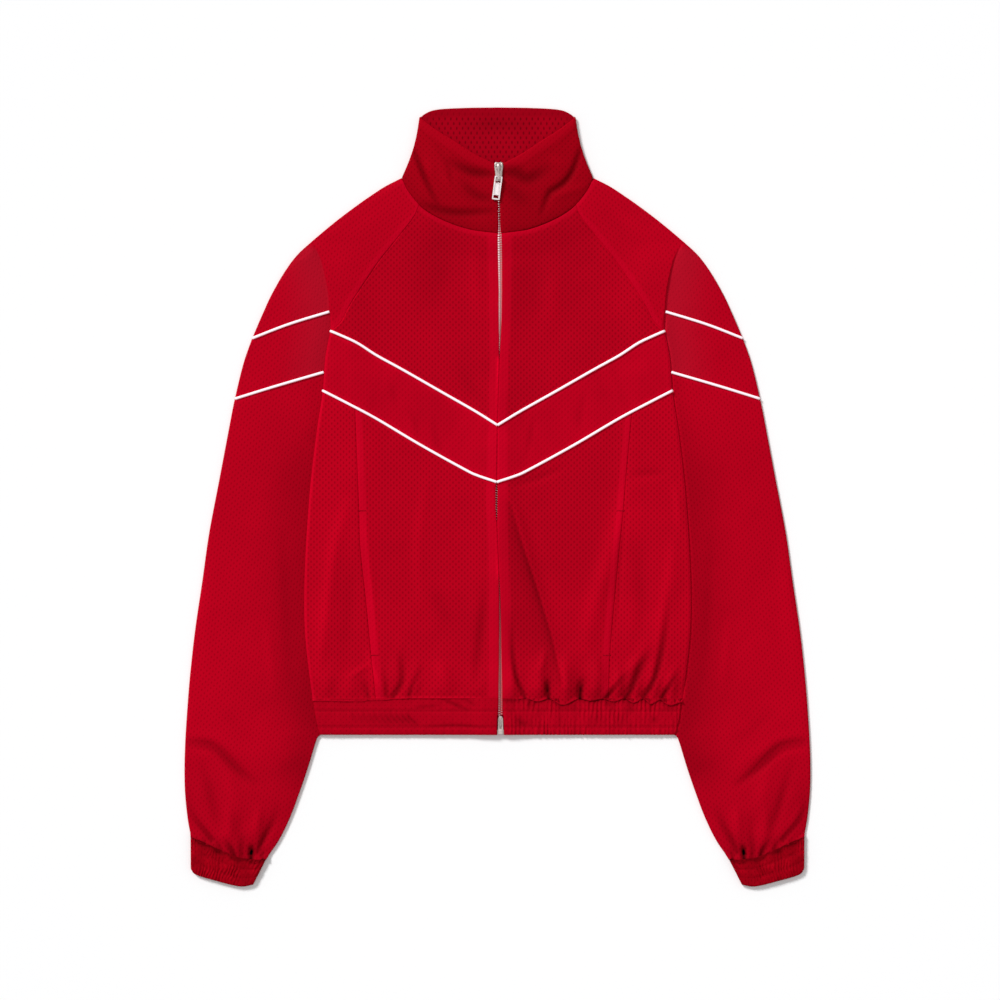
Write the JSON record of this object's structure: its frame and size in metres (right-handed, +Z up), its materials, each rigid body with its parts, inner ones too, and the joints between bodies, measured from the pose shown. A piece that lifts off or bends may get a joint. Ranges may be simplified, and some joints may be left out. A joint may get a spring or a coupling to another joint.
{
  "type": "track jacket",
  "caption": "Zip-front track jacket with raglan sleeves, stand collar, chevron piping, gathered cuffs and waistband, laid flat on its back.",
  "frame": {"origin": "on the table, under the middle of the jacket's outline", "axes": "+X towards the wearer's left, +Y towards the collar, +Z up from the table"},
  "size_m": [0.6886, 0.8564, 0.0185],
  "materials": {
    "knit": "red closed-hole polyester mesh knit, slightly glossy",
    "rib": "the same red knit, doubled and gathered",
    "piping": "white satin piping",
    "tape": "red woven zip tape with metal teeth",
    "zip_metal": "bright nickel, slightly worn"
  },
  "bodies": {
    "jacket": {"yoke_left": "knit", "yoke_right": "knit", "chevron_left": "knit", "chevron_right": "knit", "front_centre_left": "knit", "front_centre_right": "knit", "front_side_left": "knit", "front_side_right": "knit", "back": "knit", "sleeve_front_upper_left": "knit", "sleeve_front_upper_right": "knit", "sleeve_front_band_left": "knit", "sleeve_front_band_right": "knit", "sleeve_front_lower_left": "knit", "sleeve_front_lower_right": "knit", "sleeve_back_upper_left": "knit", "sleeve_back_upper_right": "knit", "sleeve_back_band_left": "knit", "sleeve_back_band_right": "knit", "sleeve_back_lower_left": "knit", "sleeve_back_lower_right": "knit", "cuff_front_left": "rib", "cuff_front_right": "rib", "cuff_back_left": "rib", "cuff_back_right": "rib", "waistband_left": "rib", "waistband_right": "rib", "waistband_back": "rib", "collar": "rib", "piping_upper_left": "piping", "piping_upper_right": "piping", "piping_lower_left": "piping", "piping_lower_right": "piping", "piping_sleeve_front_upper_left": "piping", "piping_sleeve_front_upper_right": "piping", "piping_sleeve_front_lower_left": "piping", "piping_sleeve_front_lower_right": "piping", "piping_sleeve_back_upper_left": "piping", "piping_sleeve_back_upper_right": "piping", "piping_sleeve_back_lower_left": "piping", "piping_sleeve_back_lower_right": "piping", "zip_left": "tape", "zip_right": "tape", "zip_slider": "zip_metal", "zip_box": "zip_metal"},
    "pull_tab": {"pull_tab": "zip_metal"}
  },
  "joints": [
    {"name": "tab_hinge", "type": "hinge", "parent": "jacket", "child": "pull_tab", "pos_m": [0.0013, 0.351, 0.01625], "axis": [-0.9914, 0.1305, 0], "range_deg": [0, 150]}
  ]
}
